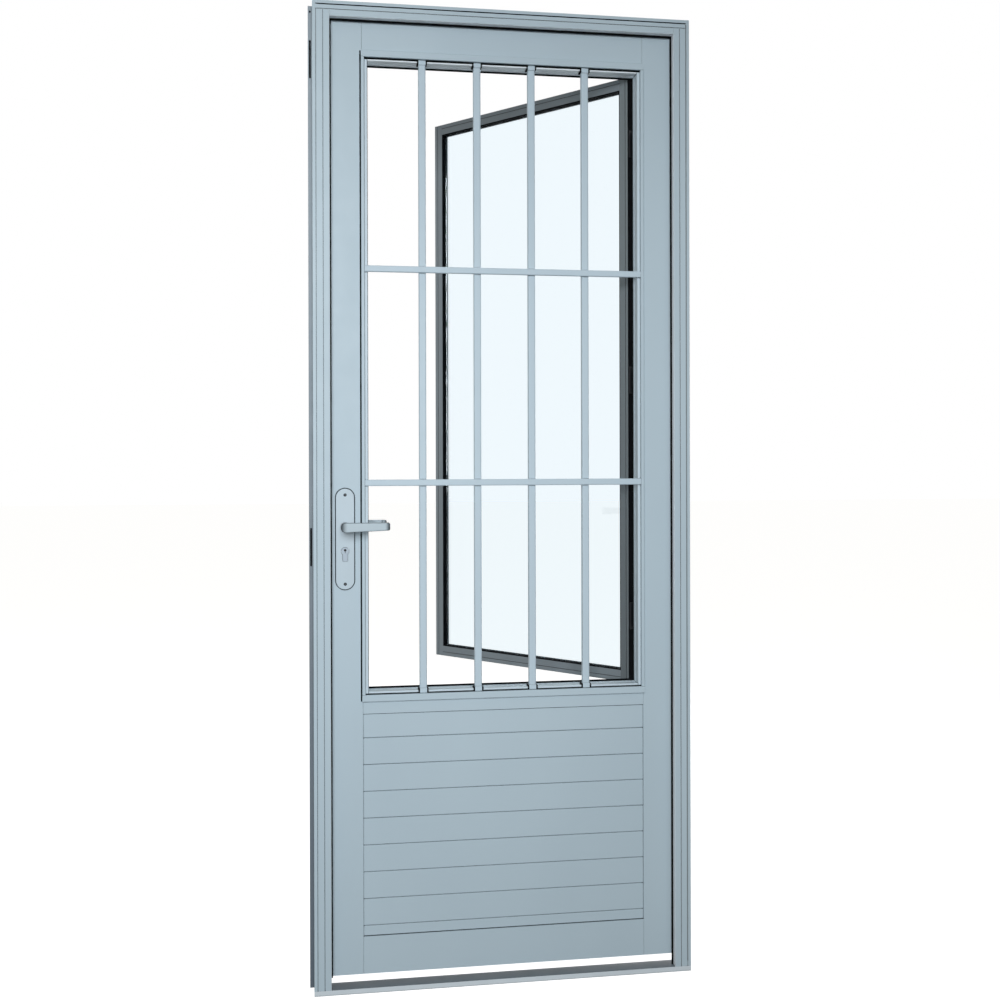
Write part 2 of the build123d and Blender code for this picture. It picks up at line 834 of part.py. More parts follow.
board_high = mid_rail_top - mid_rail_height
board_floor = leaf_bottom + bottom_rail_height
board_low = board_high - first_board
board_number = 1
while board_high > board_floor:
    save(board(board_low, board_high), f"board_{board_number}")
    board_high = board_low
    board_low = max(board_low - board_pitch, board_floor)
    board_number += 1

save(upright_bead(bead_left, clear_left), "bead_left")
save(upright_bead(clear_right, bead_right), "bead_right")
save(long_bead(clear_top, bead_high), "bead_top")
save(long_bead(bead_low, clear_bottom), "bead_bottom")
save(upright_lining(panel_left, 1), "lining_left")
save(upright_lining(panel_right, -1), "lining_right")
save(level_lining(window_top, -1), "lining_top")
save(level_lining(window_bottom, 1), "lining_bottom")
save(window_gasket(), "window_gasket")
save(grille_bars(), "grille_bars")
save(grille_rails(), "grille_rails")
save(handle_plate(plate_front), "outside_plate")
save(handle_plate(y_back), "inside_plate")
save(plate_seals(), "plate_seals")
save(lock_cylinder(), "lock_cylinder")
save(lock_faceplate(), "lock_faceplate")
save(strike_plate(), "strike_plate")
save(hinge_halves(for_frame=True), "frame_hinge_halves")
save(hinge_halves(for_frame=False), "leaf_hinge_halves")
save(outside_lever(), "outside_lever")
save(inside_lever(), "inside_lever")
save(spindle(), "spindle")
save(sash_stile(sash_far, -1), "sash_free_stile")
save(sash_stile(sash_near, 1), "sash_hinge_stile")
save(sash_rail(sash_high, -1), "sash_top_rail")
save(sash_rail(sash_low, 1), "sash_bottom_rail")
save(sash_glass(), "sash_glass")
save(sash_gasket(), "sash_gasket")
save(sash_edge_seal(), "sash_edge_seal")
save(sash_hinges(), "sash_hinges")
save(sash_latch(), "sash_latch")
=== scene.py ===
import math

import bmesh
import bpy
from mathutils import Matrix, Vector


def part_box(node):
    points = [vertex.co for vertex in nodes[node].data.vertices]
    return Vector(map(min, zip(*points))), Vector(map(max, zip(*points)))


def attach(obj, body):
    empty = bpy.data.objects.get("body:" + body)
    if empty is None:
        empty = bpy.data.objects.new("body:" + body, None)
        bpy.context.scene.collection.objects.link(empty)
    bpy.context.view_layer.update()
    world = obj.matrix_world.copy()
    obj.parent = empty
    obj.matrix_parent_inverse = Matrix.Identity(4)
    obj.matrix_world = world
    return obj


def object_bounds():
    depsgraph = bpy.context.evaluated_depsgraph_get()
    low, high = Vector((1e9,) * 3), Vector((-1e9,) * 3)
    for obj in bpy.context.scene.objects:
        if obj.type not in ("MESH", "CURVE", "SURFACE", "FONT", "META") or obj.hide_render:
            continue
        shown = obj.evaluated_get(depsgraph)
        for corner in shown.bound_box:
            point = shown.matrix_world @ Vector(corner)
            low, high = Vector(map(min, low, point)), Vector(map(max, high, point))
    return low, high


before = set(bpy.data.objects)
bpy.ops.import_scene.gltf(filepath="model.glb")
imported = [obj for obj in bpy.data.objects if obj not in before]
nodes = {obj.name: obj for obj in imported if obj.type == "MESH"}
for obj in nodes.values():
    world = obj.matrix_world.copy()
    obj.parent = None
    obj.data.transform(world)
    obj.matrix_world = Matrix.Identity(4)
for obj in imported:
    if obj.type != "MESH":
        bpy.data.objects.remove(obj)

cad_low, cad_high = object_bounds()
scene = bpy.context.scene


# Camera: the photograph's angle, nearly level, found by fitting the frame's lines.

camera_place = (-0.4170, -2.5981, 1.1276)
camera_tilt, camera_roll, camera_turn = 89.929, 0.138, -8.924
sensor_width, focal_length, lens_shift = 36.0, 43.452, -0.0375
nearest, farthest = 0.05, 100.0

camera_data = bpy.data.cameras.new("camera")
camera_data.sensor_width = sensor_width
camera_data.lens = focal_length
camera_data.shift_y = lens_shift
camera_data.clip_start = nearest
camera_data.clip_end = farthest
camera = bpy.data.objects.new("camera", camera_data)
camera.location = camera_place
camera.rotation_euler = [math.radians(turn) for turn in (camera_tilt, camera_roll, camera_turn)]
scene.collection.objects.link(camera)
scene.camera = camera
scene.view_settings.view_transform = "Standard"


# Sizes that both the paints and the small pieces use, in metres.

fin_reach = 0.009
half_width = cad_high[0] - fin_reach
hair = 0.0001


# Tools for the materials.

def srgb(red, green, blue):
    """A colour given in 0 to 255 steps, as the shader wants it."""
    linear = []
    for step in (red, green, blue):
        value = step / 255.0
        linear.append(value / 12.92 if value <= 0.04045 else ((value + 0.055) / 1.055) ** 2.4)
    return (*linear, 1.0)


class Shader:
    """A material with one Principled shader, built up node by node."""

    def __init__(self, name):
        self.material = bpy.data.materials.new(name)
        self.material.use_nodes = True
        self.tree = self.material.node_tree
        self.main = self.tree.nodes["Principled BSDF"]
        self.place = self.tree.nodes.new("ShaderNodeTexCoord").outputs["Object"]

    def add(self, kind, **settings):
        """A node of one kind, with its settings."""
        node = self.tree.nodes.new("ShaderNode" + kind)
        for key, value in settings.items():
            setattr(node, key, value)
        return node

    def give(self, socket, value):
        """Links an output to a socket, or sets the socket to a plain value."""
        if isinstance(value, bpy.types.NodeSocket):
            self.tree.links.new(value, socket)
        else:
            socket.default_value = value

    def set(self, socket, value):
        """Gives the Principled shader a value or an output."""
        self.give(self.main.inputs[socket], value)

    def noise(self, scale, detail=2.0, stretch=(1.0, 1.0, 1.0)):
        """Noise over the object's own coordinates, scale in cycles a metre."""
        mapping = self.add("Mapping")
        self.give(mapping.inputs["Scale"], stretch)
        self.give(mapping.inputs["Vector"], self.place)
        noise = self.add("TexNoise")
        self.give(noise.inputs["Scale"], scale)
        self.give(noise.inputs["Detail"], detail)
        self.give(noise.inputs["Vector"], mapping.outputs["Vector"])
        return noise.outputs["Fac"]

    def ramp(self, value, start, stop, low=0.0, high=1.0, kind="LINEAR"):
        """A value's way from start to stop, turned into a number from low to high."""
        node = self.add("MapRange", interpolation_type=kind)
        self.give(node.inputs["From Min"], start)
        self.give(node.inputs["From Max"], stop)
        self.give(node.inputs["To Min"], low)
        self.give(node.inputs["To Max"], high)
        self.give(node.inputs["Value"], value)
        return node.outputs["Result"]

    def spread(self, noise, low, high):
        """Noise in its middle range, turned into a number from low to high."""
        return self.ramp(noise, 0.3, 0.7, low, high)

    def calc(self, operation, *values):
        """One step of arithmetic on outputs or plain numbers."""
        node = self.add("Math", operation=operation)
        for socket, value in zip(node.inputs, values):
            self.give(socket, value)
        return node.outputs[0]

    def axis(self, vector, letter):
        """One coordinate of a vector."""
        node = self.add("SeparateXYZ")
        self.give(node.inputs[0], vector)
        return node.outputs[letter]

    def facing(self, letter, kind="True Normal"):
        """One coordinate of the direction that the surface looks in."""
        return self.axis(self.add("NewGeometry").outputs[kind], letter)

    def blend(self, share, first, second):
        """A colour between two, where each is a colour or an output."""
        node = self.add("Mix", data_type="RGBA")
        self.give(node.inputs["Factor"], share)
        self.give(node.inputs[6], first)
        self.give(node.inputs[7], second)
        return node.outputs[2]

    def bump(self, height, depth, below=None):
        """Small relief, depth in metres."""
        node = self.add("Bump")
        self.give(node.inputs["Strength"], 1.0)
        self.give(node.inputs["Distance"], depth)
        self.give(node.inputs["Height"], height)
        if below is not None:
            self.give(node.inputs["Normal"], below)
        self.set("Normal", node.outputs["Normal"])
        return node.outputs["Normal"]


# Places where a paint changes its tone: one there, and nothing away from it.

def looking_up(shader):
    """One on faces that look up."""
    return shader.ramp(shader.facing("Z"), 0.5, 0.9)


def near_floor(shader):
    """One at the floor, falling evenly to nothing at the top of the frame."""
    return shader.ramp(shader.axis(shader.place, "Z"), cad_high[2], 0.0)


def on_fin(shader):
    """One on the fins, past the frame's own width."""
    outward = shader.calc("ABSOLUTE", shader.axis(shader.place, "X"))
    return shader.calc("GREATER_THAN", outward, half_width + 2 * hair)


def on_fin_foot(shader):
    """One at the foot of the fins, falling evenly to nothing at their top."""
    return shader.calc("MULTIPLY", on_fin(shader), near_floor(shader))


def turned_sideways(shader):
    """One on surfaces that look neither to the front nor to the back."""
    straight = shader.calc("ABSOLUTE", shader.facing("Y", "Normal"))
    return shader.ramp(straight, 0.90, 0.35)


def facing_inwards(shader):
    """One on the frame's faces that look at the opening: down, or towards its middle."""
    sideways = shader.calc("MULTIPLY", shader.facing("X"), shader.axis(shader.place, "X"))
    scaled = shader.calc("MULTIPLY", sideways, 1.0 / cad_high[0])
    lowest = shader.calc("MINIMUM", scaled, shader.facing("Z"))
    return shader.ramp(lowest, -0.4, -0.8)


def lever_ends(shader):
    """One at the rounded end by the hub and at the tip of a lever, falling to nothing between."""
    hub_reach, tip_reach = 0.0150, 0.0120
    along = shader.axis(shader.place, "X")
    reaches = [vertex.co.x for vertex in nodes["outside_lever"].data.vertices]
    hub, tip = min(reaches), max(reaches)
    at_hub = shader.ramp(along, hub + hub_reach, hub, kind="SMOOTHSTEP")
    at_tip = shader.ramp(along, tip - tip_reach, tip, kind="SMOOTHSTEP")
    return shader.calc("MAXIMUM", at_hub, at_tip)


def painted_crevice_shade(shader, tone, reach):
    """Paints shade into a colour: darker in grooves, joints and inner corners narrower than about
    reach metres.
    """
    crevice_shade_tone = (0.012, 0.013, 0.015, 1.0)
    shut_in, open_air = 0.25, 0.85
    corners = shader.add("AmbientOcclusion", samples=6)
    shader.give(corners.inputs["Distance"], reach)
    return shader.blend(shader.ramp(corners.outputs["AO"], shut_in, open_air), crevice_shade_tone, tone)


# The kinds of material.

def painted(name, dark, light, roughness, peel=0.00003, reach=0.004, changes=()):
    """Powder coat on aluminium: slow drifts in tone, orange peel, a fine grain, and painted shade
    in the grooves.

    The changes are pairs of a place, as one of the functions above, and the tone there.
    """
    gloss = 0.28
    grain_share = 0.10
    speckle = 0.000006
    shader = Shader(name)
    shader.set("Specular IOR Level", gloss)
    drift = shader.noise(scale=2.2, detail=3.0, stretch=(1.0, 1.0, 0.35))
    tone = shader.blend(shader.spread(drift, 0.0, 1.0), dark, light)
    grain = shader.noise(scale=1400.0, detail=1.0)
    tone = shader.blend(shader.spread(grain, 0.0, grain_share), tone, light)
    for place, tone_there in changes:
        tone = shader.blend(place(shader), tone, tone_there)
    # painted shade in grooves, joints and inner corners
    shader.set("Base Color", painted_crevice_shade(shader, tone, reach))
    clouds = shader.noise(scale=26.0, detail=3.0)
    shader.set("Roughness", shader.spread(clouds, roughness - 0.04, roughness + 0.05))
    coarse = shader.bump(shader.noise(scale=420.0, detail=1.0), peel)
    shader.bump(shader.noise(scale=2600.0, detail=1.0), speckle, below=coarse)
    return shader.material


def brushed(name, dark, light, roughness, along):
    """Bare metal with fine strokes along one axis."""
    shader = Shader(name)
    stretch = [1.0, 1.0, 1.0]
    stretch[along] = 0.03
    strokes = shader.noise(scale=2400.0, detail=3.0, stretch=tuple(stretch))
    tone = shader.blend(shader.spread(strokes, 0.0, 1.0), dark, light)
    # painted shade in grooves, joints and inner corners
    shader.set("Base Color", painted_crevice_shade(shader, tone, reach=0.002))
    shader.set("Metallic", 1.0)
    shader.set("Roughness", shader.spread(strokes, roughness - 0.06, roughness + 0.08))
    shader.bump(strokes, depth=0.00001)
    return shader.material


def rubber(name, dark, light):
    """Black rubber with a soft sheen and faint marks."""
    gloss = 0.02
    shader = Shader(name)
    marks = shader.spread(shader.noise(scale=60.0, detail=4.0), 0.0, 1.0)
    shader.set("Base Color", shader.blend(marks, dark, light))
    shader.set("Roughness", shader.spread(shader.noise(scale=200.0, detail=2.0), 0.55, 0.75))
    shader.set("Specular IOR Level", gloss)
    shader.bump(shader.noise(scale=900.0, detail=2.0), depth=0.00004)
    return shader.material


def glazing(name, tint):
    """Clear float glass, faintly blue."""
    shader = Shader(name)
    shader.set("Base Color", tint)
    shader.set("Transmission Weight", 1.0)
    shader.set("IOR", 1.5)
    shader.set("Roughness", shader.spread(shader.noise(scale=5.0, detail=2.0), 0.0, 0.012))
    return shader.material


# The materials of this door.

door_tones = srgb(171, 189, 199), srgb(180, 198, 207)
door_paint = painted("door_paint", *door_tones, 0.48)
jamb_paint = painted(
    "jamb_paint", *door_tones, 0.48, reach=0.002,
    changes=(
        # painted light: faces that look at the opening lighter
        (facing_inwards, srgb(236, 242, 246)),
        # painted shade: the fins darker, darkest at their foot
        (on_fin, srgb(136, 147, 154)),
        (on_fin_foot, srgb(88, 98, 107)),
    ),
)
head_paint = painted(
    "head_paint", *door_tones, 0.48, reach=0.002,
    # painted light: faces that look at the opening lighter
    changes=((facing_inwards, srgb(242, 246, 250)),),
)
# painted light: lighter than the door's paint, so that the window's reveals look lit
lining_paint = painted(
    "lining_paint", srgb(186, 202, 211), srgb(194, 210, 219), 0.46, reach=0.0025
)
# painted light: lighter still, so that the top lining's underside looks lit
lining_top_paint = painted(
    "lining_top_paint", srgb(222, 232, 238), srgb(230, 240, 246), 0.46, reach=0.0020
)
lock_paint = painted(
    "lock_paint", srgb(160, 174, 186), srgb(171, 185, 196), 0.36, peel=0.00001
)
grille_paint = painted("grille_paint", srgb(176, 194, 205), srgb(184, 202, 212), 0.46)
threshold_paint = painted(
    "threshold_paint", srgb(200, 211, 217), srgb(210, 220, 226), 0.46,
    # painted shade: the threshold's top face darker
    changes=((looking_up, srgb(112, 122, 129)),),
)
sash_paint = painted("sash_paint", srgb(113, 122, 127), srgb(122, 131, 136), 0.44)
sash_shade = painted(
    "sash_shade", srgb(112, 121, 124), srgb(120, 129, 132), 0.44,
    changes=((near_floor, srgb(80, 87, 91)),),
)
handle_paint = painted(
    "handle_paint", srgb(174, 190, 199), srgb(184, 200, 209), 0.38, peel=0.00002
)
# painted shade: darker on its sides, at its hub end and tip, and near the plate
lever_paint = painted(
    "lever_paint", srgb(165, 181, 189), srgb(175, 191, 199), 0.38, peel=0.00002, reach=0.007,
    changes=((turned_sideways, srgb(74, 83, 89)), (lever_ends, srgb(62, 70, 75))),
)
lock_metal = brushed("lock_metal", srgb(150, 152, 154), srgb(190, 192, 194), 0.32, 2)
black_metal = painted("black_metal", srgb(24, 26, 29), srgb(33, 35, 38), 0.5)
gasket = rubber("gasket", srgb(5, 7, 9), srgb(13, 15, 18))
glass = glazing("glass", (0.865, 0.945, 0.99, 1.0))
screw_metal = brushed("screw_metal", srgb(128, 136, 142), srgb(160, 168, 174), 0.30, 0)
black_screw = painted("black_screw", srgb(8, 11, 16), srgb(18, 22, 28), 0.34, peel=0.00001)

slot_finishes = {
    "door_paint": door_paint,
    "threshold_paint": threshold_paint,
    "sash_paint": sash_paint,
    "handle_paint": handle_paint,
    "lock_metal": lock_metal,
    "gasket": gasket,
    "glass": glass,
}
node_finishes = {
    "sash_hinges": black_metal,
    "left_jamb": jamb_paint,
    "right_jamb": jamb_paint,
    "lock_cylinder": lock_paint,
    "grille_bars": grille_paint,
    "grille_rails": grille_paint,
    "sash_hinge_stile": sash_shade,
    "head": head_paint,
    "lining_left": lining_paint,
    "lining_right": lining_paint,
    "lining_top": lining_top_paint,
    "lining_bottom": lining_paint,
    "outside_lever": lever_paint,
    "inside_lever": lever_paint,
}
for name, node in nodes.items():
    for place in node.material_slots:
        finish = slot_finishes[place.material.name.split(".")[0]]
        place.material = node_finishes.get(name, finish)


# Rounded edges on the profiles.

edge_rounding = 0.0004
sharp_angle = 40.0
rounded_in_cad = ("sash_glass", "outside_lever", "inside_lever", "spindle")


def clean_edges_group():
    """Joins the split points of a carried-over mesh, so that its edges can be rounded."""
    group = bpy.data.node_groups.new("clean_edges", "GeometryNodeTree")
    group.interface.new_socket("Geometry", in_out="INPUT", socket_type="NodeSocketGeometry")
    group.interface.new_socket("Geometry", in_out="OUTPUT", socket_type="NodeSocketGeometry")
    start = group.nodes.new("NodeGroupInput")
    end = group.nodes.new("NodeGroupOutput")
    drop = group.nodes.new("GeometryNodeRemoveAttribute")
    drop.inputs["Name"].default_value = "custom_normal"
    merge = group.nodes.new("GeometryNodeMergeByDistance")
    merge.inputs["Distance"].default_value = 0.00001
    group.links.new(start.outputs[0], drop.inputs["Geometry"])
    group.links.new(drop.outputs["Geometry"], merge.inputs["Geometry"])
    group.links.new(merge.outputs["Geometry"], end.inputs[0])
    return group


def soften(node, clean_edges):
    """Rounds the sharp edges of a node."""
    clean = node.modifiers.new("clean", "NODES")
    clean.node_group = clean_edges
    bevel = node.modifiers.new("round", "BEVEL")
    bevel.width = edge_rounding
    bevel.segments = 2
    bevel.limit_method = "ANGLE"
    bevel.angle_limit = math.radians(sharp_angle)
    bevel.harden_normals = True
    bevel.use_clamp_overlap = True


clean_edges = clean_edges_group()
for name, node in nodes.items():
    if name not in rounded_in_cad:
        soften(node, clean_edges)


# Tools for the small pieces.

def small_piece(name, mesh, material, body):
    """Turns a bmesh into a piece that rides on a body."""
    bmesh.ops.recalc_face_normals(mesh, faces=mesh.faces)
    data = bpy.data.meshes.new(name)
    mesh.to_mesh(data)
    mesh.free()
    data.materials.append(material)
    piece = bpy.data.objects.new(name, data)
    scene.collection.objects.link(piece)
    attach(piece, body)
    return piece


def ring(mesh, place, across, up, out, radius, lift, count):
    """A closed loop of points round place, lift metres proud."""
    points = []
    for number in range(count):
        turn = math.tau * (number + 0.5) / count
        x, y = radius * math.cos(turn), radius * math.sin(turn)
        points.append(mesh.verts.new(place + across * x + up * y + out * lift))
    return points


def closed_edges(mesh, points):
    """The edges of a closed loop, made where they are missing."""
    edges = []
    for first, second in zip(points, points[1:] + points[:1]):
        found = mesh.edges.get((first, second))
        edges.append(found or mesh.edges.new((first, second)))
    return edges


def bridge(mesh, loops):
    """Walls from each loop of points to the next."""
    walls = [closed_edges(mesh, points) for points in loops]
    for first, second in zip(walls, walls[1:]):
        bmesh.ops.bridge_loops(mesh, edges=first + second)


def screw_head(mesh, place, out, radius, turn):
    """A low domed screw head with a cross recess, standing on place and looking along out."""
    sunk, rim_lift, dome_lift, mouth_lift, recess_depth = 0.0002, 0.0003, 0.0008, 0.0009, 0.0009
    rim_share, dome_share, arm_share, half_share, bed_share = 0.97, 0.70, 0.52, 0.12, 0.8
    sides = 24
    place = Vector(place)
    out = Vector(out).normalized()
    across = out.orthogonal().normalized()
    across.rotate(Matrix.Rotation(turn, 3, out))
    up = out.cross(across)
    foot = ring(mesh, place, across, up, out, radius, -sunk, sides)
    rim = ring(mesh, place, across, up, out, radius * rim_share, rim_lift, sides)
    dome = ring(mesh, place, across, up, out, radius * dome_share, dome_lift, sides)
    arm, half = radius * arm_share, radius * half_share
    cross = []
    for quarter in range(4):
        spin = Matrix.Rotation(math.tau * quarter / 4, 3, "Z")
        for x, y in ((arm, -half), (arm, half), (half, half)):
            cross.append(spin @ Vector((x, y, 0.0)))
    levels = []
    for share, lift in ((1.0, mouth_lift), (bed_share, -recess_depth)):
        corners = [place + across * p.x * share + up * p.y * share + out * lift for p in cross]
        levels.append([mesh.verts.new(corner) for corner in corners])
    mouth, bed = levels
    bridge(mesh, (foot, rim, dome, mouth, bed))
    mesh.faces.new(bed)
    mesh.faces.new(list(reversed(foot)))


def pad(mesh, middle, width, length, thick):
    """A flat pad with round ends, standing upright, its front at middle."""
    radius = width / 2
    steps = 8
    edge_share, edge_depth = 0.92, 0.2
    outline = []
    for end, start in ((1, 0.0), (-1, math.pi)):
        for number in range(steps + 1):
            turn = start + math.pi * number / steps
            height = end * (length / 2 - radius) + radius * math.sin(turn)
            outline.append((radius * math.cos(turn), height))
    layers = []
    for share, size in (
        (0.0, edge_share), (edge_depth, 1.0), (1.0 - edge_depth, 1.0), (1.0, edge_share)
    ):
        depth = middle[1] + thick * share
        corners = [(middle[0] + x * size, depth, middle[2] + z * size) for x, z in outline]
        layers.append([mesh.verts.new(corner) for corner in corners])
    for first, second in zip(layers, layers[1:]):
        for number in range(len(first)):
            after = (number + 1) % len(first)
            mesh.faces.new((first[number], first[after], second[after], second[number]))
    mesh.faces.new(layers[0])
    mesh.faces.new(list(reversed(layers[-1])))


def strip(mesh, low, high, rounding):
    """A bar between two corners with rounded edges."""
    made = bmesh.ops.create_cube(mesh, size=1.0)["verts"]
    middle = [(a + b) / 2 for a, b in zip(low, high)]
    size = [b - a for a, b in zip(low, high)]
    for vertex in made:
        vertex.co = Vector([m + c * s for m, c, s in zip(middle, vertex.co, size)])
    edges = list({edge for vertex in made for edge in vertex.link_edges})
    bmesh.ops.bevel(
        mesh, geom=edges, offset=rounding, offset_type="OFFSET", segments=2,
        profile=0.5, affect="EDGES",
    )


# Screws.

outward, inward = (0.0, -1.0, 0.0), (0.0, 1.0, 0.0)
lockward, hingeward = (-1.0, 0.0, 0.0), (1.0, 0.0, 0.0)
plate_screw, hinge_screw = 0.0034, 0.0036
hinge_height, hinge_plate = 0.090, 0.003
hinge_numbers = (-1, 0, 1)
outer_step, inner_step = 0.033, 0.011


def plate_screws():
    """Two screws in each handle plate."""
    below_top, above_foot = 0.0135, 0.0115
    plate_low, plate_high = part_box("outside_plate")
    plate_x = (plate_low[0] + plate_high[0]) / 2
    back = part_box("inside_plate")[1][1]
    mesh = bmesh.new()
    for number, height in enumerate((plate_low[2] + above_foot, plate_high[2] - below_top)):
        screw_head(mesh, (plate_x, plate_low[1], height), outward, plate_screw, 0.4 + number)
        screw_head(mesh, (plate_x, back, height), inward, plate_screw, 0.9 + number)
    small_piece("plate_screws", mesh, black_screw, "leaf")


def hinge_middles():
    """The heights of the three hinges, each with its number."""
    low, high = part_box("leaf_hinge_halves")
    span = (high[2] - low[2] - hinge_height) / 2
    return [(number, (low[2] + high[2]) / 2 + number * span) for number in hinge_numbers]


def leaf_hinge_screws(mesh):
    """Four screws in each hinge plate on the leaf, in a zigzag."""
    near_row, far_row = 0.010, 0.023
    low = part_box("leaf_hinge_halves")[0]
    for number, centre in hinge_middles():
        for row, step in enumerate((-outer_step, -inner_step, inner_step, outer_step)):
            sideways = near_row if row % 2 else far_row
            place = (low[0] + sideways, low[1] + hinge_plate, centre + step)
            screw_head(mesh, place, inward, hinge_screw, 0.5 * row + number)


def frame_hinge_screws(mesh):
    """Three screws in each hinge plate on the frame, in one row."""
    from_edge = 0.0055
    low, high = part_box("frame_hinge_halves")
    for number, centre in hinge_middles():
        for row, step in enumerate((-outer_step, 0.0, outer_step)):
            place = (high[0] - from_edge, low[1] + hinge_plate, centre + step)
            screw_head(mesh, place, inward, hinge_screw, 0.7 * row + number)


def edge_plate_screws(leaf_mesh, frame_mesh):
    """Two screws in the lock's faceplate and two in the strike plate."""
    face_inset, strike_inset = 0.012, 0.010
    face_low, face_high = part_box("lock_faceplate")
    strike_low, strike_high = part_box("strike_plate")
    middle = (face_low[1] + face_high[1]) / 2
    for height in (face_low[2] + face_inset, face_high[2] - face_inset):
        screw_head(leaf_mesh, (face_low[0], middle, height), lockward, plate_screw, height)
    for height in (strike_low[2] + strike_inset, strike_high[2] - strike_inset):
        screw_head(frame_mesh, (strike_high[0], middle, height), hingeward, plate_screw, height)


plate_screws()
leaf_mesh, frame_mesh = bmesh.new(), bmesh.new()
leaf_hinge_screws(leaf_mesh)
frame_hinge_screws(frame_mesh)
edge_plate_screws(leaf_mesh, frame_mesh)
small_piece("hinge_screws_leaf", leaf_mesh, screw_metal, "leaf")
small_piece("hinge_screws_frame", frame_mesh, screw_metal, "frame")


# Painted shade: pads behind the fins' slots and holes.

def fin_slot_shades():
    """Rubber pads behind the two slots and the hole of each fin, as painted shade behind the
    openings.
    """
    fin_thick, fin_back, thick = 0.0016, 0.0400, 0.002
    slot_length, overlap = 0.082, 0.003
    slot_pad, hole_pad = (0.0076, slot_length + 2 * overlap), (0.0062, 0.0080)
    lower_slot, upper_slot, hole = 0.9445, 1.9865, 2.0880
    places = ((lower_slot, slot_pad), (upper_slot, slot_pad), (hole, hole_pad))
    jamb_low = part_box("left_jamb")[0]
    depth = jamb_low[1] + fin_back + fin_thick
    mesh = bmesh.new()
    for side in (-1.0, 1.0):
        for height, (width, length) in places:
            middle = (side * (-jamb_low[0] - fin_reach / 2), depth, height)
            pad(mesh, middle, width, length, thick)
    small_piece("fin_slot_shades", mesh, gasket, "frame")


fin_slot_shades()


# Strips round the window, the frame and the sash: painted shade in the grooves and beside the
# beads, a black strip on the sash's hinge edge, and the window gasket's lips.

leaf_front, leaf_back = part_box("lock_stile")[0][1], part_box("lock_stile")[1][1]
bead_left_low, bead_left_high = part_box("bead_left")
bead_bottom_low, bead_bottom_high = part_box("bead_bottom")
bead_top_low, bead_top_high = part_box("bead_top")
clear_left, clear_right = bead_left_high[0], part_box("bead_right")[0][0]
clear_low, clear_high = bead_bottom_high[2], bead_top_low[2]
lining_low, lining_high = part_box("lining_bottom")[1][2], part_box("lining_top")[0][2]


def strip_piece(name, boxes, rounding, body, material=gasket, turn=None):
    """Strips between pairs of corners as one piece, turned as a whole where asked."""
    mesh = bmesh.new()
    for low, high in boxes:
        strip(mesh, low, high, rounding)
    if turn is not None:
        mesh.transform(turn)
    small_piece(name, mesh, material, body)


def bead_shadow_lines():
    """Black lines under the top bead and over the bottom bead, on the leaf's front, as painted
    shade beside the beads.
    """
    top_thick, top_height = 0.0012, 0.0034
    bottom_thick, bottom_height = 0.0007, 0.0024
    left, right = clear_left + hair, clear_right - hair
    strip_piece(
        "top_shadow_line",
        [((left, leaf_front - top_thick, clear_high - top_height),
          (right, leaf_front, clear_high - hair))],
        rounding=0.0004, body="leaf",
    )
    strip_piece(
        "bottom_shadow_line",
        [((left, leaf_front - bottom_thick, clear_low + hair),
          (right, leaf_front, clear_low + bottom_height))],
        rounding=0.0003, body="leaf",
    )


def head_groove_shade():
    """A black strip in the head's upper groove, as painted shade in the groove."""
    groove_at, height, proud, deep, side_gap = 0.0070, 0.0025, 0.0003, 0.0019, 0.0088
    head_low, head_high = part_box("head")
    reach = half_width - side_gap
    strip_piece(
        "head_groove_shade",
        [((-reach, head_low[1] - proud, head_high[2] - groove_at - height),
          (reach, head_low[1] + deep, head_high[2] - groove_at))],
        rounding=0.0003, body="frame",
    )


def jamb_groove_shade():
    """A grey strip in the outer groove of the right jamb, as painted shade in the groove."""
    from_edge, width, proud, deep = 0.0065, 0.0026, 0.0002, 0.0018
    foot, top = 0.0230, 2.0900
    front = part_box("right_jamb")[0][1]
    outer = half_width - from_edge
    strip_piece(
        "jamb_groove_shade",
        [((outer - width, front - proud, foot), (outer, front + deep, top))],
        rounding=0.0002, body="frame", material=sash_paint,
    )


def sash_edge_cover():
    """A black strip on the sash's hinge edge, placed in the sash's own directions."""
    axis_x, axis_y, open_angle = 0.3113, 0.0525, 50.2
    sash_near, sash_thick = 0.0050, 0.0200
    overhang, width, raised, end_gap = 0.0002, 0.0028, 0.0004, 0.0010
    sash_low, sash_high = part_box("sash_hinge_stile")
    left = sash_near - overhang
    swing = Matrix.Rotation(math.radians(180.0 - open_angle), 4, "Z")
    strip_piece(
        "sash_edge_cover",
        [((left, sash_thick - raised, sash_low[2] + end_gap),
          (left + width, sash_thick + raised, sash_high[2] - end_gap))],
        rounding=0.0003, body="leaf", turn=Matrix.Translation((axis_x, axis_y, 0.0)) @ swing,
    )


def groove_shade_strip():
    """A black strip on the bed of the shadow groove beside the left bead, as painted shade in the
    groove.
    """
    width, depth, thick = 0.0030, 0.0040, 0.0014
    bed = leaf_front + depth
    strip_piece(
        "groove_shade_strip",
        [((bead_left_low[0] - width + hair, bed - thick, bead_bottom_low[2] + hair),
          (bead_left_low[0] - hair, bed, bead_top_high[2] - hair))],
        rounding=0.0004, body="leaf",
    )


def gasket_lips():
    """The window gasket's lips over and under the opening, on the leaf's back."""
    side_gap, behind, back = 0.0075, 0.0004, 0.0036
    overlap, top_reach, bottom_reach = 0.0010, 0.0030, 0.0036
    left, right = clear_left + side_gap, clear_right - side_gap
    near, far = leaf_back + behind, leaf_back + back
    strip_piece(
        "gasket_lips",
        [((left, near, lining_high - top_reach), (right, far, lining_high + overlap)),
         ((left, near, lining_low - overlap), (right, far, lining_low + bottom_reach))],
        rounding=0.0006, body="leaf",
    )


bead_shadow_lines()
head_groove_shade()
jamb_groove_shade()
sash_edge_cover()
groove_shade_strip()
gasket_lips()
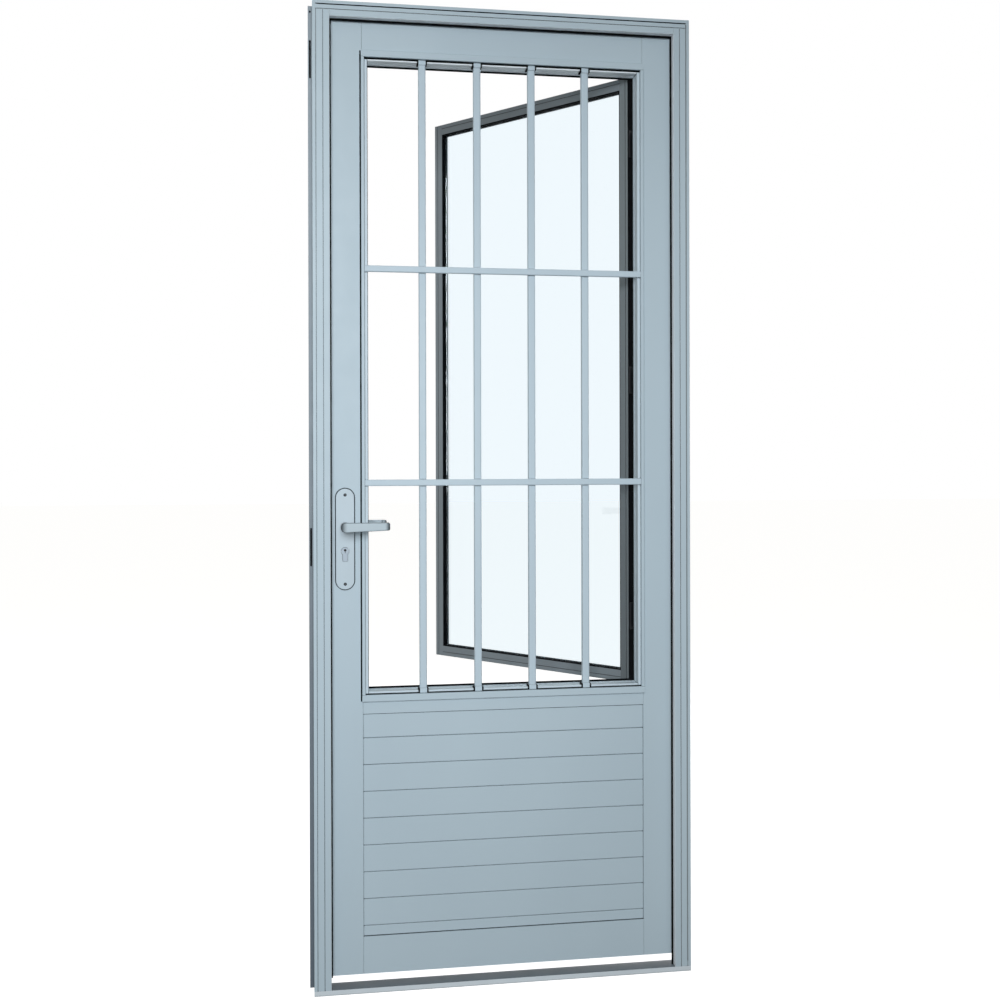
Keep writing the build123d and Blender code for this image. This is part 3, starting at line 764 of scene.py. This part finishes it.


# Painted shadow and sleeves at the ends of the bars.

def bar_ends():
    """At both ends of each bar, a black block in the lining as painted shadow, and a sleeve over
    the bar.
    """
    bar_width, bar_count = 0.0155, 4
    shadow_side, shadow_thick, shadow_depth, shadow_height = 0.0030, 0.0012, 0.0180, 0.0020
    sleeve_thick, sleeve_height, sleeve_sunk = 0.0014, 0.0105, 0.0002
    lip = 0.0010
    sleeve_rounding, shadow_rounding = 0.0005, 0.0004
    bars_low, bars_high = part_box("grille_bars")
    bar_step = (bars_high[0] - bars_low[0] - bar_width) / (bar_count - 1)
    end_shadows, sleeves = bmesh.new(), bmesh.new()
    for number in range(bar_count):
        left = bars_low[0] + number * bar_step
        right = left + bar_width
        shadow_left, shadow_right = left - shadow_side, right + shadow_side
        for start, base, toward in (
            (clear_high, lining_high, -1.0),
            (clear_low, lining_low, 1.0),
        ):
            first = start + toward * hair
            low, high = sorted((first, start + toward * sleeve_height))
            strip(
                sleeves,
                (left, leaf_front - sleeve_thick, low), (right, leaf_front + sleeve_sunk, high),
                sleeve_rounding,
            )
            foot = base - toward * lip
            front = leaf_front - shadow_thick
            for end, back in (
                (base + toward * shadow_height, leaf_front + shadow_depth),
                (first, leaf_front),
            ):
                low, high = sorted((foot, end))
                strip(end_shadows, (shadow_left, front, low), (shadow_right, back, high), shadow_rounding)
    small_piece("bar_end_shadows", end_shadows, gasket, "leaf")
    small_piece("bar_sleeves", sleeves, grille_paint, "leaf")


bar_ends()


# Painted shade: black rings round the keyholes.

def keyhole_shades():
    """A raised black ring round each keyhole, with the hole's dark bed, as painted shade in the
    keyhole.
    """
    below_top = 0.0058
    profile = ((0.0029, -0.0001), (0.0027, 0.0003), (0.0014, 0.0002), (0.0011, -0.0020))
    sides = 20
    low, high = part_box("lock_cylinder")
    across, up = Vector((1.0, 0.0, 0.0)), Vector((0.0, 0.0, 1.0))
    mesh = bmesh.new()
    for face, side in ((low[1], -1.0), (high[1], 1.0)):
        place = Vector(((low[0] + high[0]) / 2, face, high[2] - below_top))
        out = Vector((0.0, side, 0.0))
        loops = [ring(mesh, place, across, up, out, *step, sides) for step in profile]
        bridge(mesh, loops)
        mesh.faces.new(loops[-1])
    small_piece("keyhole_shades", mesh, black_metal, "leaf")


keyhole_shades()


# Floor, light and background.

white = (1.0, 1.0, 1.0, 1.0)
world_tone = (1.0, 0.965, 0.87, 1.0)
world_level = 0.20
floor_tone, floor_bounce, floor_glow = 0.60, 0.14, 0.875
floor_reach = 30.0


def white_to_eye(tree):
    """One where a camera, glossy or transmission ray looks, else nothing."""
    path = tree.nodes.new("ShaderNodeLightPath")
    answer = path.outputs["Is Camera Ray"]
    for ray in ("Is Glossy Ray", "Is Transmission Ray"):
        either = tree.nodes.new("ShaderNodeMath")
        either.operation = "MAXIMUM"
        tree.links.new(answer, either.inputs[0])
        tree.links.new(path.outputs[ray], either.inputs[1])
        answer = either.outputs[0]
    return answer


def by_eye(tree, lit, seen):
    """A number that differs between what lights the door and what the eye sees."""
    level = tree.nodes.new("ShaderNodeMapRange")
    level.inputs["To Min"].default_value = lit
    level.inputs["To Max"].default_value = seen
    tree.links.new(white_to_eye(tree), level.inputs["Value"])
    return level.outputs["Result"]


def studio_world():
    """White to the eye, and a dimmer warm light on the door."""
    world = bpy.data.worlds.new("studio")
    scene.world = world
    world.use_nodes = True
    tree = world.node_tree
    background = tree.nodes["Background"]
    hue = tree.nodes.new("ShaderNodeMix")
    hue.data_type = "RGBA"
    hue.inputs[6].default_value = world_tone
    hue.inputs[7].default_value = white
    tree.links.new(white_to_eye(tree), hue.inputs["Factor"])
    tree.links.new(hue.outputs[2], background.inputs["Color"])
    tree.links.new(by_eye(tree, world_level, 1.0), background.inputs["Strength"])


def studio_floor():
    """A plain pale floor that meets the background without a line and keeps the door's shadow."""
    corners = [
        (x * floor_reach, y * floor_reach, 0.0) for x, y in ((-1, -1), (1, -1), (1, 1), (-1, 1))
    ]
    mesh = bpy.data.meshes.new("floor")
    mesh.from_pydata(corners, [], [(0, 1, 2, 3)])
    floor = bpy.data.objects.new("floor", mesh)
    scene.collection.objects.link(floor)
    material = bpy.data.materials.new("floor")
    material.use_nodes = True
    tree = material.node_tree
    shader = tree.nodes["Principled BSDF"]
    tree.links.new(by_eye(tree, floor_bounce, floor_tone), shader.inputs["Base Color"])
    shader.inputs["Roughness"].default_value = 1.0
    shader.inputs["Specular IOR Level"].default_value = 0.0
    shader.inputs["Emission Color"].default_value = white
    tree.links.new(by_eye(tree, 0.0, floor_glow), shader.inputs["Emission Strength"])
    mesh.materials.append(material)


def softbox(name, place, target, size, power, spread=180.0):
    """A square soft light that looks from place to target and shines spread degrees wide."""
    data = bpy.data.lights.new(name, "AREA")
    data.shape = "SQUARE"
    data.size = size
    data.energy = power
    data.spread = math.radians(spread)
    lamp = bpy.data.objects.new(name, data)
    lamp.location = place
    lamp.rotation_euler = (Vector(target) - Vector(place)).to_track_quat("-Z", "Y").to_euler()
    lamp.visible_camera = False
    scene.collection.objects.link(lamp)
    return lamp


studio_world()
studio_floor()
key = softbox(
    "key", place=(-0.8, -4.0, 1.9), target=(-0.38, 0.0, 1.0), size=2.0, power=26.6, spread=68.0
)
key.data.color = (0.985, 1.0, 1.03)
side = softbox("side", place=(-1.1, 0.2, 1.75), target=(0.1, 0.35, 1.5), size=0.8, power=3.6)
side.visible_glossy = False
side.visible_transmission = False
softbox("fill", place=(2.2, 2.6, 1.8), target=(0.0, 0.0, 1.1), size=2.0, power=48.0)
